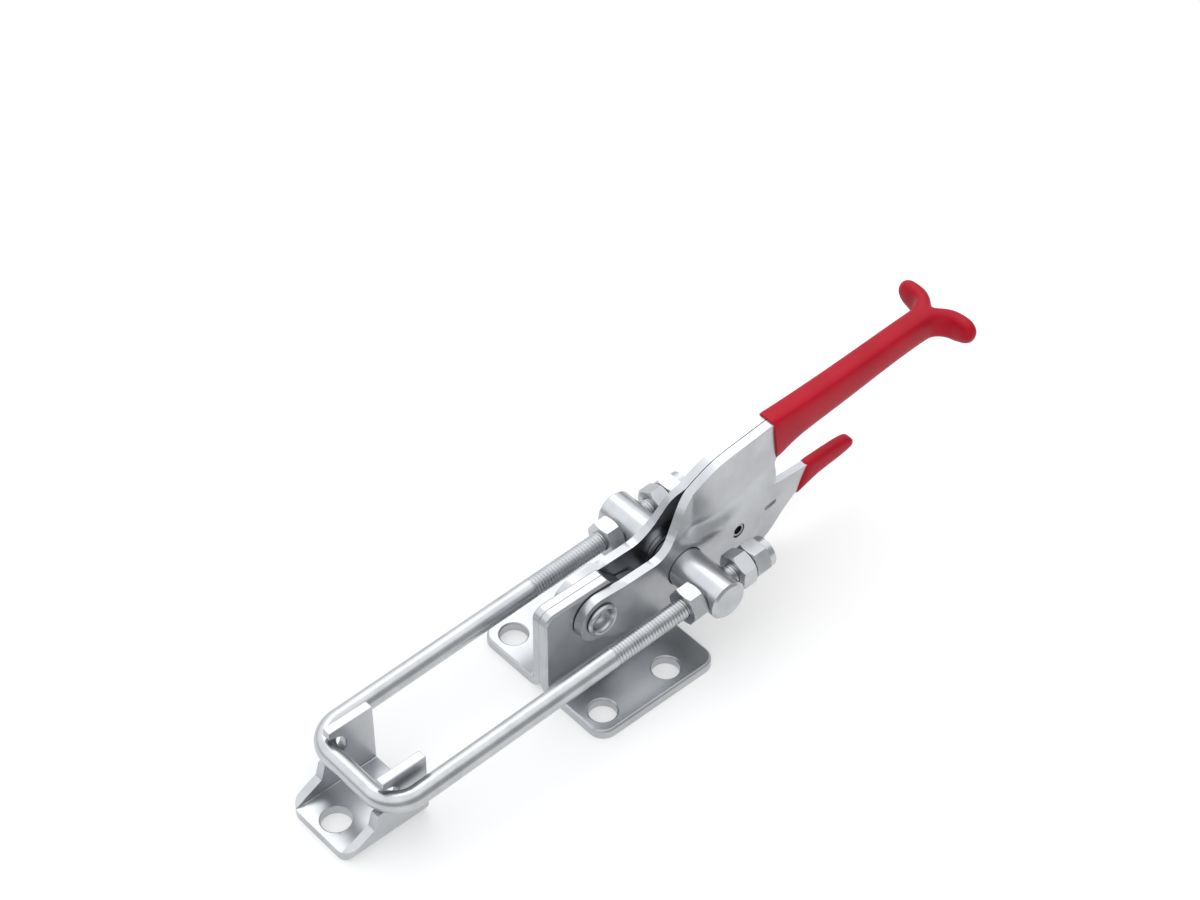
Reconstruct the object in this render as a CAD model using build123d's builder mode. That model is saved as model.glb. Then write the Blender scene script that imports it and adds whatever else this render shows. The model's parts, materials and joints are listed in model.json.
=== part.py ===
from build123d import *
import math
import os

os.makedirs("parts", exist_ok=True)

# base, origin at the middle of its four holes, on the underside
base_sheet = 3.0
base_corner = 4.8
base_bend_inner = 1.5
hole_pitch_x = 23.4
hole_pitch_y = 37.5
hole_edge_side = 7.0
hole_edge_front = 6.6
hole_edge_rear = 13.5
mount_hole_d = 8.0
hole_rim = 0.4
sheet_edge = 0.6
web_rise = 8.7
web_front_corner = 3.6
web_top_end = 5.4
web_rear_radius = 19.4

# pivot of the handle on the base
pivot_x = -1.0
pivot_z = 22.0
rivet_d = 8.0
rivet_head_d = 10.2
rivet_head_t = 1.3
rivet_recess_d = 6.2
rivet_recess_depth = 1.1
rivet_edge = 0.5
running_fit = 0.05
side_clearance = 0.3

# handle plates, side shape measured from the pivot
plate_t = 2.8
arm_half = 6.7
arm_end = 7.4
tail_start = 69.0
flare_start = 128.7
flare_radius = 7.25
flare_angle = 90.0
flare_reach = 4.65
flare_lobe = 3.0
flare_lobe_z = 27.85
flare_root_y = 7.0
flare_root_z = 23.3
coat_t = 1.0

# trunnion and U-bolt, the bar lies lower than the trunnion
trunnion_dx = 31.2
trunnion_dz = -1.1
trunnion_d = 12.0
trunnion_hole_gap = 0.3
bar_dx = -82.0
bar_height = 16.5
leg_half = 17.0
trunnion_over = 7.2
rod_d = 6.0
rod_bend = 8.5
rod_tail = 21.2
rod_fit = 0.06
nut_flats = 10.0
nut_t = 5.0
nut_chamfer = 0.45
front_nut_at = 6.05
rear_nut_at = 7.8
lock_nut_at = 13.1
lock_nut_hex = 5.0
lock_nut_t = 7.2
insert_t = 1.3

# release lever, pivoted on a spring pin
lever_t = 2.5
pin_dx = 53.0
pin_dz = -2.8
pin_d = 4.2
pin_wall = 0.7
pin_half = 4.8
pin_hole_gap = 0.25
lever_coat_t = 0.8
lever_slot_len = 4.6
lever_slot_w = 1.6

# torsion spring round the trunnion
wire_d = 1.1
coil_radius = 6.95
coil_pitch = 1.15
coil_turns = 2.5

# strike plate, own front edge at u = 0
strike_t = 3.0
strike_len = 27.5
strike_half_width = 12.75
strike_bar_u = 12.3
strike_hole_u = 6.0
strike_hole_d = 8.4
nose_over = 4.3
ear_over = 6.8
seat_gap = 0.3
throat_depth = 5.9
strike_corner = 4.5
strike_bend = 4.0

base_half_width = hole_pitch_y / 2 + hole_edge_side
base_front = -hole_pitch_x / 2 - hole_edge_front
base_rear = hole_pitch_x / 2 + hole_edge_rear
trunnion_half = leg_half + trunnion_over
trunnion_x = pivot_x + trunnion_dx
trunnion_z = pivot_z + trunnion_dz
bar_x = pivot_x + bar_dx
bolt_drop = math.atan2(trunnion_z - bar_height, trunnion_x - bar_x)
bolt_len = math.hypot(trunnion_z - bar_height, trunnion_x - bar_x)

side = Plane(origin=(pivot_x, 0, pivot_z), x_dir=(1, 0, 0), z_dir=(0, -1, 0))
bolt = Plane(
    origin=(trunnion_x, 0, trunnion_z),
    x_dir=(math.cos(bolt_drop), 0, math.sin(bolt_drop)),
    z_dir=(-math.sin(bolt_drop), 0, math.cos(bolt_drop)),
)

# base plate, left
with BuildPart() as base_plate_left:
    with BuildSketch(Plane.YZ.offset(base_front)) as section:
        with BuildLine():
            Polyline(
                (0, 0),
                (base_half_width, 0),
                (base_half_width, base_sheet),
                (base_sheet, base_sheet),
                (base_sheet, pivot_z + web_rise),
                (0, pivot_z + web_rise),
                close=True,
            )
        make_face()
        fillet(section.vertices().sort_by_distance((base_sheet, base_sheet))[0], base_bend_inner)
        fillet(section.vertices().sort_by_distance((0, 0))[0], base_bend_inner + base_sheet)
    extrude(amount=base_rear - base_front)
    with BuildSketch(side.offset(1)) as web_outline:
        with BuildLine():
            front = base_front - pivot_x
            rear = base_rear - pivot_x
            low = -pivot_z
            shelf = base_sheet - pivot_z
            a_top = math.radians(-2)
            a_mid = math.radians(-18)
            a_low = math.radians(-34)
            top_end = (web_rear_radius * math.cos(a_top), web_rear_radius * math.sin(a_top))
            mid_end = (web_rear_radius * math.cos(a_mid), web_rear_radius * math.sin(a_mid))
            low_end = (web_rear_radius * math.cos(a_low), web_rear_radius * math.sin(a_low))
            Line((front, low), (front, web_rise - web_front_corner))
            RadiusArc(
                (front, web_rise - web_front_corner),
                (front + web_front_corner, web_rise),
                web_front_corner,
            )
            Line((front + web_front_corner, web_rise), (web_top_end, web_rise))
            Line((web_top_end, web_rise), (13.0, 0.6))
            Line((13.0, 0.6), top_end)
            ThreePointArc(top_end, mid_end, low_end)
            Line(low_end, (low_end[0] + 2.6, shelf + 3.2))
            RadiusArc((low_end[0] + 2.6, shelf + 3.2), (low_end[0] + 6.0, shelf), -3.5)
            Line((low_end[0] + 6.0, shelf), (rear, shelf))
            Line((rear, shelf), (rear, low))
            Line((rear, low), (front, low))
        make_face()
    extrude(amount=-(base_half_width + 2), mode=Mode.INTERSECT)
    corners = base_plate_left.edges().filter_by(Axis.Z).group_by(Axis.Y)[-1]
    fillet(corners, base_corner)
    with Locations(
        (-hole_pitch_x / 2, hole_pitch_y / 2, base_sheet),
        (hole_pitch_x / 2, hole_pitch_y / 2, base_sheet),
    ):
        Hole(mount_hole_d / 2, depth=base_sheet)
    with BuildSketch(side):
        Circle(rivet_d / 2)
    extrude(amount=-(base_sheet + 1), mode=Mode.SUBTRACT)
    top_edges = base_plate_left.edges().filter_by(
        lambda e: abs(e.center().Z - base_sheet) < 0.01 and e.center().Y > base_bend_inner + base_sheet
    )
    rims = top_edges.filter_by(lambda e: e.is_closed)
    chamfer(rims, hole_rim)
    chamfer(top_edges.filter_by(lambda e: not e.is_closed), sheet_edge)
base_plate_left.part.label = "base_plate_left"
export_step(base_plate_left.part, "parts/base_plate_left.step")

# base plate, right
with BuildPart() as base_plate_right:
    add(base_plate_left.part.mirror(Plane.XZ))
base_plate_right.part.label = "base_plate_right"
export_step(base_plate_right.part, "parts/base_plate_right.step")

# pivot rivet
arm_in = base_sheet + side_clearance
arm_out = arm_in + plate_t
head_in = arm_out + side_clearance
with BuildPart() as pivot_rivet:
    with BuildSketch(side.offset(-head_in)):
        Circle(rivet_d / 2)
    extrude(amount=2 * head_in)
    for away in (-1, 1):
        with BuildSketch(side.offset(away * head_in)):
            Circle(rivet_head_d / 2)
        extrude(amount=away * rivet_head_t)
        with BuildSketch(side.offset(away * (head_in + rivet_head_t))):
            Circle(rivet_recess_d / 2)
        extrude(amount=-away * rivet_recess_depth, mode=Mode.SUBTRACT)
    rims = pivot_rivet.edges().filter_by(GeomType.CIRCLE)
    outer = [e for e in rims if abs(e.radius - rivet_head_d / 2) < 0.01]
    chamfer([e for e in outer if abs(e.center().Y) > head_in + 0.5 * rivet_head_t], rivet_edge)
    inner = [e for e in pivot_rivet.edges().filter_by(GeomType.CIRCLE)
             if abs(e.radius - rivet_recess_d / 2) < 0.01]
    chamfer([e for e in inner if abs(e.center().Y) > head_in + 0.8 * rivet_head_t], 0.4)
pivot_rivet.part.label = "pivot_rivet"
export_step(pivot_rivet.part, "parts/pivot_rivet.step")

# handle plate, left: bent sheet by stations along X, then cut to its side shape
stations = [
    (-9.0, arm_in, arm_in + 0.02, 4.5, 10.0),
    (22.0, arm_in, arm_in + 0.02, 4.5, 10.0),
    (26.0, arm_in, 2.9, 6.4, 10.2),
    (29.5, arm_in, 2.1, 6.3, 10.4),
    (33.0, arm_in, 1.1, 5.9, 9.8),
    (36.5, arm_in, 0.0, 5.2, 8.8),
    (41.0, arm_in, 0.0, 4.0, 7.6),
    (47.0, 2.9, 0.0, 2.4, 6.8),
    (55.0, 2.1, 0.0, 2.6, 8.2),
    (62.0, 1.65, 0.0, 5.8, 11.4),
    (tail_start, 1.6, 0.0, 8.6, 12.6),
]
flare_out = flare_start + flare_radius + plate_t / 2
flare_top = flare_lobe_z + flare_lobe - 0.05
lobe_y = plate_t / 2 + flare_radius + flare_reach - flare_lobe
lobe_z = pivot_z + flare_lobe_z
with BuildPart() as handle_plate_left:
    for x, y_low, y_high, z_low, z_high in stations:
        with BuildSketch(Plane(origin=(pivot_x + x, 0, pivot_z), x_dir=(0, 1, 0), z_dir=(1, 0, 0))):
            with BuildLine():
                Polyline(
                    (y_low, -18),
                    (y_low, z_low),
                    (y_high, z_high),
                    (y_high, 40),
                    (y_high + plate_t, 40),
                    (y_high + plate_t, z_high),
                    (y_low + plate_t, z_low),
                    (y_low + plate_t, -18),
                    close=True,
                )
            make_face()
    loft(ruled=True)
    with BuildSketch(Plane.XY.offset(pivot_z + 5)):
        with BuildLine() as run:
            start = (pivot_x + flare_start, plate_t / 2)
            turn = math.radians(flare_angle)
            Line((pivot_x + tail_start, plate_t / 2), start)
            bend_end = (
                start[0] + flare_radius * math.sin(turn),
                start[1] + flare_radius * (1 - math.cos(turn)),
            )
            RadiusArc(start, bend_end, -flare_radius)
            Line(
                bend_end,
                (
                    bend_end[0] + flare_reach * math.cos(turn),
                    bend_end[1] + flare_reach * math.sin(turn),
                ),
            )
        trace(line_width=plate_t)
    extrude(amount=35)
    with BuildSketch(side.offset(1)) as cheek:
        with BuildLine():
            RadiusArc((0, arm_end), (-arm_end, 0), -arm_end)
            RadiusArc((-arm_end, 0), (0, -arm_end), -arm_end)
            Spline(
                (0, -arm_end),
                (16, -7.2),
                (24, -9.4),
                (32, -12.2),
                (45, -14.0),
                (56.0, -14.4),
                tangents=((1, 0), (1, 0)),
            )
            Spline((56.0, -14.4), (59.6, -13.3), (61.0, -10.8), tangents=((1, 0), (0.1, 1)))
            Spline(
                (61.0, -10.8),
                (62.6, -4.6),
                (64.8, 0.8),
                (66.8, 5.3),
                (68.3, 12.0),
                tangents=((0.1, 1), (0.05, 1)),
            )
            Spline((68.3, 12.0), (70.3, 14.9), (75.0, 17.2), tangents=((0.05, 1), (1, 0.25)))
            Spline(
                (75.0, 17.2),
                (93.0, 19.2),
                (110.0, 21.7),
                (flare_start - 2.7, flare_root_z),
                tangents=((1, 0.25), (1, 0)),
            )
            Line((flare_start - 2.7, flare_root_z), (flare_out + 5, flare_root_z))
            Line((flare_out + 5, flare_root_z), (flare_out + 5, flare_top))
            Line((flare_out + 5, flare_top), (flare_start - 2.7, flare_top))
            Spline(
                (flare_start - 2.7, flare_top),
                (118.0, 30.5),
                (104.0, 29.4),
                (86.0, 28.3),
                (67.0, 28.2),
                (59.0, 27.3),
                (53.0, 26.6),
                (47.0, 25.6),
                (43.0, 24.2),
                (39.0, 22.3),
                (36.0, 20.6),
                (33.0, 18.2),
                (30.4, 14.6),
                (27.6, 10.9),
                (24.0, 8.0),
                (19.0, arm_half),
                tangents=((-1, 0), (-1, 0)),
            )
            Line((19.0, arm_half), (9.0, arm_half))
            Line((9.0, arm_half), (0, arm_end))
        make_face()
    extrude(amount=-30, mode=Mode.INTERSECT)
    with BuildSketch(Plane.YZ.offset(pivot_x - 2 * arm_end)):
        with BuildLine():
            Line((-1, -1), (flare_root_y, -1))
            Line((flare_root_y, -1), (flare_root_y, pivot_z + flare_root_z))
            Line((flare_root_y, pivot_z + flare_root_z), (lobe_y, lobe_z - flare_lobe))
            ThreePointArc(
                (lobe_y, lobe_z - flare_lobe),
                (lobe_y + flare_lobe, lobe_z),
                (lobe_y, lobe_z + flare_lobe),
            )
            Line((lobe_y, lobe_z + flare_lobe), (-1, lobe_z + flare_lobe))
            Line((-1, lobe_z + flare_lobe), (-1, -1))
        make_face()
    extrude(amount=flare_out + 4 * arm_end, mode=Mode.INTERSECT)
    with BuildSketch(side):
        Circle(rivet_d / 2 + running_fit)
        with Locations((trunnion_dx, trunnion_dz)):
            Circle(trunnion_d / 2 + trunnion_hole_gap)
        with Locations((pin_dx, pin_dz)):
            Circle(pin_d / 2 + pin_hole_gap)
    extrude(amount=-12, mode=Mode.SUBTRACT)
handle_plate_left.part.label = "handle_plate_left"
export_step(handle_plate_left.part, "parts/handle_plate_left.step")

# handle plate, right
with BuildPart() as handle_plate_right:
    add(handle_plate_left.part.mirror(Plane.XZ))
handle_plate_right.part.label = "handle_plate_right"
export_step(handle_plate_right.part, "parts/handle_plate_right.step")

# dipped grip: a coat all round both tails and flares
with BuildPart() as handle_grip:
    with BuildSketch(Plane.XY.offset(pivot_z + 5)):
        for mirror_y in (1, -1):
            with BuildLine():
                turn = math.radians(flare_angle)
                mid = mirror_y * plate_t / 2
                start = (pivot_x + flare_start, mid)
                bend_end = (
                    start[0] + flare_radius * math.sin(turn),
                    mid + mirror_y * flare_radius * (1 - math.cos(turn)),
                )
                Line((pivot_x + tail_start - 1.5, mid), start)
                RadiusArc(start, bend_end, -mirror_y * flare_radius)
                Line(
                    bend_end,
                    (
                        bend_end[0] + (flare_reach + coat_t) * math.cos(turn),
                        bend_end[1] + mirror_y * (flare_reach + coat_t) * math.sin(turn),
                    ),
                )
            trace(line_width=plate_t + 2 * coat_t)
    extrude(amount=35)
    with BuildSketch(side.offset(20)):
        with BuildLine():
            Line((66.8, 29.2), (68.9, 13.4))
            Spline((68.9, 13.4), (70.6, 13.5), (75.2, 16.3), tangents=((1, -0.3), (1, 0.3)))
            Spline(
                (75.2, 16.3),
                (93.2, 18.2),
                (110.1, 20.7),
                (flare_start - 2.7, flare_root_z - coat_t),
                tangents=((1, 0.3), (1, 0)),
            )
            Line((flare_start - 2.7, flare_root_z - coat_t), (flare_out + 5, flare_root_z - coat_t))
            Line((flare_out + 5, flare_root_z - coat_t), (flare_out + 5, flare_top + coat_t))
            Line((flare_out + 5, flare_top + coat_t), (flare_start - 2.7, flare_top + coat_t))
            Spline(
                (flare_start - 2.7, flare_top + coat_t),
                (118.0, 31.5),
                (104.0, 30.4),
                (86.0, 29.3),
                (66.8, 29.2),
                tangents=((-1, 0), (-1, 0)),
            )
        make_face()
    extrude(amount=-40, mode=Mode.INTERSECT)
    with BuildSketch(Plane.YZ.offset(pivot_x)):
        with BuildLine():
            lobe_half = flare_lobe + coat_t
            root_low = pivot_z + flare_root_z - coat_t
            Line((-1, -1), (flare_root_y, -1))
            Line((flare_root_y, -1), (flare_root_y, root_low))
            Line((flare_root_y, root_low), (lobe_y, lobe_z - lobe_half))
            ThreePointArc(
                (lobe_y, lobe_z - lobe_half),
                (lobe_y + lobe_half, lobe_z),
                (lobe_y, lobe_z + lobe_half),
            )
            Line((lobe_y, lobe_z + lobe_half), (-1, lobe_z + lobe_half))
            Line((-1, lobe_z + lobe_half), (-1, -1))
        make_face()
        mirror(about=Plane.YZ)
    extrude(amount=flare_out + 2 * arm_end, mode=Mode.INTERSECT)
    add(handle_plate_left.part, mode=Mode.SUBTRACT)
    add(handle_plate_right.part, mode=Mode.SUBTRACT)
handle_grip.part.label = "handle_grip"
export_step(handle_grip.part, "parts/handle_grip.step")

# lever pin, a rolled spring pin with its slit
with BuildPart() as lever_pin:
    with BuildSketch(side.offset(-pin_half)):
        with Locations((pin_dx, pin_dz)):
            Circle(pin_d / 2)
            Circle(pin_d / 2 - pin_wall, mode=Mode.SUBTRACT)
        with Locations((pin_dx - 1.6, pin_dz + 0.6)):
            Rectangle(1.8, 0.5, mode=Mode.SUBTRACT)
    extrude(amount=2 * pin_half)
lever_pin.part.label = "lever_pin"
export_step(lever_pin.part, "parts/lever_pin.step")

# torsion spring, coil round the trunnion with a leg back under the lever pin
with BuildPart() as torsion_spring:
    with BuildLine() as wire:
        coil = Helix(
            pitch=coil_pitch,
            height=coil_pitch * coil_turns,
            radius=coil_radius,
            center=(trunnion_x, -coil_pitch * coil_turns / 2, trunnion_z),
            direction=(0, 1, 0),
            lefthand=True,
        )
        Line(coil @ 1, (coil @ 1) + 9 * (coil % 1))
        Line((coil @ 0) - 5 * (coil % 0), coil @ 0)
    with BuildSketch(Plane(origin=wire.line @ 0, z_dir=wire.line % 0)):
        RegularPolygon(wire_d / 2, 6)
    sweep()
torsion_spring.part.label = "torsion_spring"
export_step(torsion_spring.part, "parts/torsion_spring.step")

# trunnion, cross drilled along the two legs
with BuildPart() as trunnion:
    with BuildSketch(side.offset(-trunnion_half)):
        with Locations((trunnion_dx, trunnion_dz)):
            Circle(trunnion_d / 2)
    extrude(amount=2 * trunnion_half)
    chamfer(trunnion.edges().filter_by(GeomType.CIRCLE), 0.7)
    with BuildSketch(Plane(origin=bolt.origin, x_dir=(0, 1, 0), z_dir=bolt.x_dir)):
        with Locations((leg_half, 0), (-leg_half, 0)):
            Circle(rod_d / 2 + rod_fit)
    extrude(amount=trunnion_d, both=True, mode=Mode.SUBTRACT)
trunnion.part.label = "trunnion"
export_step(trunnion.part, "parts/trunnion.step")

# U-bolt
with BuildPart() as u_bolt:
    with BuildLine(bolt) as rod:
        FilletPolyline(
            (rod_tail, leg_half),
            (-bolt_len, leg_half),
            (-bolt_len, -leg_half),
            (rod_tail, -leg_half),
            radius=rod_bend,
        )
    with BuildSketch(Plane(origin=rod.line @ 0, z_dir=rod.line % 0)):
        Circle(rod_d / 2)
    sweep()
    ends = u_bolt.edges().filter_by(GeomType.CIRCLE).group_by(Axis.X)[-1]
    chamfer(ends, 0.6)
    bend_leg_end = Plane(origin=bolt.origin - bolt.x_dir * (bolt_len - rod_bend), z_dir=bolt.x_dir)
    split(bisect_by=bend_leg_end, keep=Keep.BOTH)
    for across in (leg_half - rod_bend, rod_bend - leg_half):
        split(bisect_by=Plane.XZ.offset(across), keep=Keep.BOTH)
u_bolt.part.label = "u_bolt"
export_step(u_bolt.part, "parts/u_bolt.step")

# nuts on each leg: front, rear, and a lock nut with a round collar
nut_corner = nut_flats / math.sqrt(3)
for name, across in (("left", leg_half), ("right", -leg_half)):
    for kind, at in (("front_nut", -front_nut_at - nut_t), ("rear_nut", rear_nut_at)):
        seat = Plane(
            origin=bolt.origin + bolt.x_dir * at + Vector(0, across, 0),
            x_dir=(0, 1, 0),
            z_dir=bolt.x_dir,
        )
        with BuildPart() as nut:
            with BuildSketch(seat):
                Circle(nut_corner)
            extrude(amount=nut_t)
            chamfer(nut.edges().filter_by(GeomType.CIRCLE), nut_chamfer, 1.7 * nut_chamfer)
            with BuildSketch(seat):
                RegularPolygon(nut_flats / 2, 6, major_radius=False, rotation=30)
            extrude(amount=nut_t, mode=Mode.INTERSECT)
            with BuildSketch(seat):
                Circle(rod_d / 2 + rod_fit)
            extrude(amount=nut_t, mode=Mode.SUBTRACT)
        nut.part.label = kind + "_" + name
        export_step(nut.part, "parts/" + kind + "_" + name + ".step")
    seat = Plane(
        origin=bolt.origin + bolt.x_dir * lock_nut_at + Vector(0, across, 0),
        x_dir=(0, 1, 0),
        z_dir=bolt.x_dir,
    )
    with BuildPart() as lock_nut:
        with BuildSketch(seat):
            Circle(nut_corner)
        extrude(amount=lock_nut_hex)
        chamfer(lock_nut.edges().filter_by(GeomType.CIRCLE), nut_chamfer, 1.7 * nut_chamfer)
        with BuildSketch(seat):
            RegularPolygon(nut_flats / 2, 6, major_radius=False, rotation=30)
        extrude(amount=lock_nut_hex, mode=Mode.INTERSECT)
        with BuildSketch(seat):
            Circle(nut_flats / 2 - 0.25)
        extrude(amount=lock_nut_t)
        with BuildSketch(seat):
            Circle(rod_d / 2 + rod_fit)
        extrude(amount=lock_nut_t, mode=Mode.SUBTRACT)
        with BuildSketch(seat.offset(lock_nut_t - insert_t - 0.4)):
            Circle(nut_flats / 2 - 1.0)
        extrude(amount=insert_t, mode=Mode.SUBTRACT)
    lock_nut.part.label = "lock_nut_" + name
    export_step(lock_nut.part, "parts/lock_nut_" + name + ".step")
    with BuildPart() as insert:
        with BuildSketch(seat.offset(lock_nut_t - insert_t - 0.4)):
            Circle(nut_flats / 2 - 1.0)
            Circle(rod_d / 2 + rod_fit, mode=Mode.SUBTRACT)
        extrude(amount=insert_t)
    insert.part.label = "lock_insert_" + name
    export_step(insert.part, "parts/lock_insert_" + name + ".step")

# release lever: plate between the cheeks, finger under the trunnion
with BuildPart() as release_lever:
    with BuildSketch(side.offset(-lever_t / 2)) as lever_face:
        with BuildLine():
            Spline(
                (45.4, -3.0),
                (48.2, 1.8),
                (53.0, 4.1),
                (60.0, 3.9),
                (66.0, 1.9),
                tangents=((0.3, 1), (1, -0.3)),
            )
            Spline((66.0, 1.9), (72.0, 0.8), (82.0, 0.3), (97.6, -0.1), tangents=((1, -0.3), (1, 0)))
            Spline((97.6, -0.1), (100.6, -0.8), (101.5, -2.2), tangents=((1, 0), (0, -1)))
            Spline((101.5, -2.2), (100.4, -3.6), (97.6, -4.2), tangents=((0, -1), (-1, 0)))
            Spline(
                (97.6, -4.2),
                (90.0, -4.9),
                (82.9, -6.3),
                (79.4, -8.3),
                (74.3, -12.6),
                tangents=((-1, 0), (-1, -0.95)),
            )
            Spline(
                (74.3, -12.6),
                (70.8, -16.2),
                (67.4, -18.7),
                (62.0, -19.6),
                tangents=((-1, -0.95), (-1, 0.05)),
            )
            Line((62.0, -19.6), (44.0, -14.6))
            Line((44.0, -14.6), (23.5, -13.4))
            Line((23.5, -13.4), (20.8, -9.4))
            Line((20.8, -9.4), (24.5, -9.9))
            Line((24.5, -9.9), (38.5, -10.2))
            Spline((38.5, -10.2), (43.2, -7.8), (45.4, -3.0), tangents=((1, 0), (0.3, 1)))
        make_face()
        with Locations((pin_dx, pin_dz)):
            Circle(pin_d / 2 + running_fit, mode=Mode.SUBTRACT)
        with Locations((69.4, -6.4)):
            SlotOverall(lever_slot_len, lever_slot_w, rotation=8, mode=Mode.SUBTRACT)
    extrude(amount=lever_t)
release_lever.part.label = "release_lever"
export_step(release_lever.part, "parts/release_lever.step")

# dipped lever grip
with BuildPart() as lever_grip:
    with BuildSketch(side.offset(-lever_t / 2 - lever_coat_t)):
        with BuildLine():
            Line((78.9, -9.5), (83.3, 0.8))
            Spline((83.3, 0.8), (90.0, 0.8), (97.8, 0.7), tangents=((1, 0), (1, 0)))
            Spline((97.8, 0.7), (101.2, -0.3), (102.3, -2.2), tangents=((1, 0), (0, -1)))
            Spline((102.3, -2.2), (101.0, -4.2), (97.6, -5.0), tangents=((0, -1), (-1, 0)))
            Spline(
                (97.6, -5.0),
                (90.0, -5.7),
                (83.0, -7.1),
                (78.9, -9.5),
                tangents=((-1, 0), (-1, -0.95)),
            )
        make_face()
    extrude(amount=lever_t + 2 * lever_coat_t)
    add(release_lever.part, mode=Mode.SUBTRACT)
lever_grip.part.label = "lever_grip"
export_step(lever_grip.part, "parts/lever_grip.step")

# strike plate
strike_front = bar_x - strike_bar_u
ear_top = bar_height + ear_over
strike_side = Plane(origin=(strike_front, 0, 0), x_dir=(1, 0, 0), z_dir=(0, -1, 0))
with BuildPart() as strike_plate:
    with BuildSketch(Plane.YZ.offset(strike_front)) as channel:
        with BuildLine():
            Polyline(
                (-strike_half_width, 0),
                (strike_half_width, 0),
                (strike_half_width, ear_top),
                (strike_half_width - strike_t, ear_top),
                (strike_half_width - strike_t, strike_t),
                (strike_t - strike_half_width, strike_t),
                (strike_t - strike_half_width, ear_top),
                (-strike_half_width, ear_top),
                close=True,
            )
        make_face()
        for across in (strike_half_width, -strike_half_width):
            fillet(channel.vertices().sort_by_distance((across, 0))[0], strike_bend)
    extrude(amount=strike_len)
    with BuildSketch(strike_side.offset(20)):
        with BuildLine():
            gap = rod_d / 2 + seat_gap
            u = strike_bar_u
            nose = (u + 0.4, bar_height + nose_over)
            Line((0, 0), (strike_len, 0))
            Line((strike_len, 0), (strike_len, ear_top))
            Line((strike_len, ear_top), (nose[0] + 0.2, ear_top))
            Line((nose[0] + 0.2, ear_top), nose)
            Line(nose, (u + 2.6, bar_height + gap + 0.4))
            ThreePointArc(
                (u + 2.6, bar_height + gap + 0.4),
                (u + throat_depth, bar_height + 0.2),
                (u + 1.6, bar_height - gap - 0.7),
            )
            Line((u + 1.6, bar_height - gap - 0.7), (u - 1.8, bar_height - gap - 1.3))
            Line((u - 1.8, bar_height - gap - 1.3), (9.3, 7.6))
            Line((9.3, 7.6), (1.4, 3.7))
            Line((1.4, 3.7), (0, 3.0))
            Line((0, 3.0), (0, 0))
        make_face()
    extrude(amount=-40, mode=Mode.INTERSECT)
    with BuildSketch() as plan:
        with Locations((strike_front, 0)):
            Rectangle(strike_len, 2 * strike_half_width, align=(Align.MIN, Align.CENTER))
        fillet(plan.vertices().group_by(Axis.X)[0], strike_corner)
    extrude(amount=ear_top, mode=Mode.INTERSECT)
    with Locations((strike_front + strike_hole_u, 0, strike_t)):
        Hole(strike_hole_d / 2, depth=strike_t)
strike_plate.part.label = "strike_plate"
export_step(strike_plate.part, "parts/strike_plate.step")
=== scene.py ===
import json
import math

import bpy
from mathutils import Matrix, Vector


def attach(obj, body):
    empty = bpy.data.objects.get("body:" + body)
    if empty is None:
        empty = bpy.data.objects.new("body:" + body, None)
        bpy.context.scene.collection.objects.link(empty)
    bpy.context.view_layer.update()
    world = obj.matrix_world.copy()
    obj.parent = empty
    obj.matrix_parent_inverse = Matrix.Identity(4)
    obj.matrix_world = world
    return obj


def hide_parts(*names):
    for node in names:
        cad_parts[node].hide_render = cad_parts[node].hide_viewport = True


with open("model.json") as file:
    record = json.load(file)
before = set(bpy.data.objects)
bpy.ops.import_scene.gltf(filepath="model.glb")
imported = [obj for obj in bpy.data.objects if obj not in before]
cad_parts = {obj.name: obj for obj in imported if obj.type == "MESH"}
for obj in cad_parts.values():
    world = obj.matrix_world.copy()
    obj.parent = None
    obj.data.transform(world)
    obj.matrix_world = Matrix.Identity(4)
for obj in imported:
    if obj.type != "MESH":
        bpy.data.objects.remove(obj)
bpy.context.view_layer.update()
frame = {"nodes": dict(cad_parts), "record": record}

scene = bpy.context.scene
bodies = frame["record"]["behaviour"]["bodies"]
nodeBody = {node: body for body, nodes in bodies.items() for node in nodes}

mm = 0.001
touch = 0.01 * mm        # a point this near to a plane counts as on it
mergeGap = 0.002 * mm    # points nearer than this become one
flatTurn = 0.6           # degrees: faces that turn by less become one
edgeTurn = 35            # degrees: an edge that turns by more gets broken
smoothTurn = 30          # degrees: an edge that turns by less is shaded round
facing = 0.9             # least part of its normal along an axis, for a face that looks that way


# selecting

def selectOnly(*objects):
    bpy.ops.object.select_all(action="DESELECT")
    for each in objects:
        each.select_set(True)
    bpy.context.view_layer.objects.active = objects[0]


def pickFaces(piece, test):
    # in edit mode: only the faces that test says yes to are left selected
    bpy.ops.mesh.select_mode(type="FACE")
    bpy.ops.mesh.select_all(action="DESELECT")
    bpy.ops.object.mode_set(mode="OBJECT")
    for face in piece.data.polygons:
        face.select = test(face)
    bpy.ops.object.mode_set(mode="EDIT")


def pickVerts(piece, test):
    # the same for points, tested by their place
    bpy.ops.mesh.select_mode(type="VERT")
    bpy.ops.mesh.select_all(action="DESELECT")
    bpy.ops.object.mode_set(mode="OBJECT")
    for vert in piece.data.vertices:
        vert.select = test(vert.co)
    bpy.ops.object.mode_set(mode="EDIT")


def pickEdges(piece, test):
    # the same for edges, tested by the places of their two ends
    bpy.ops.mesh.select_mode(type="EDGE")
    bpy.ops.mesh.select_all(action="DESELECT")
    bpy.ops.object.mode_set(mode="OBJECT")
    verts = piece.data.vertices
    for edge in piece.data.edges:
        edge.select = test(*(verts[i].co for i in edge.vertices))
    bpy.ops.object.mode_set(mode="EDIT")


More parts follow.
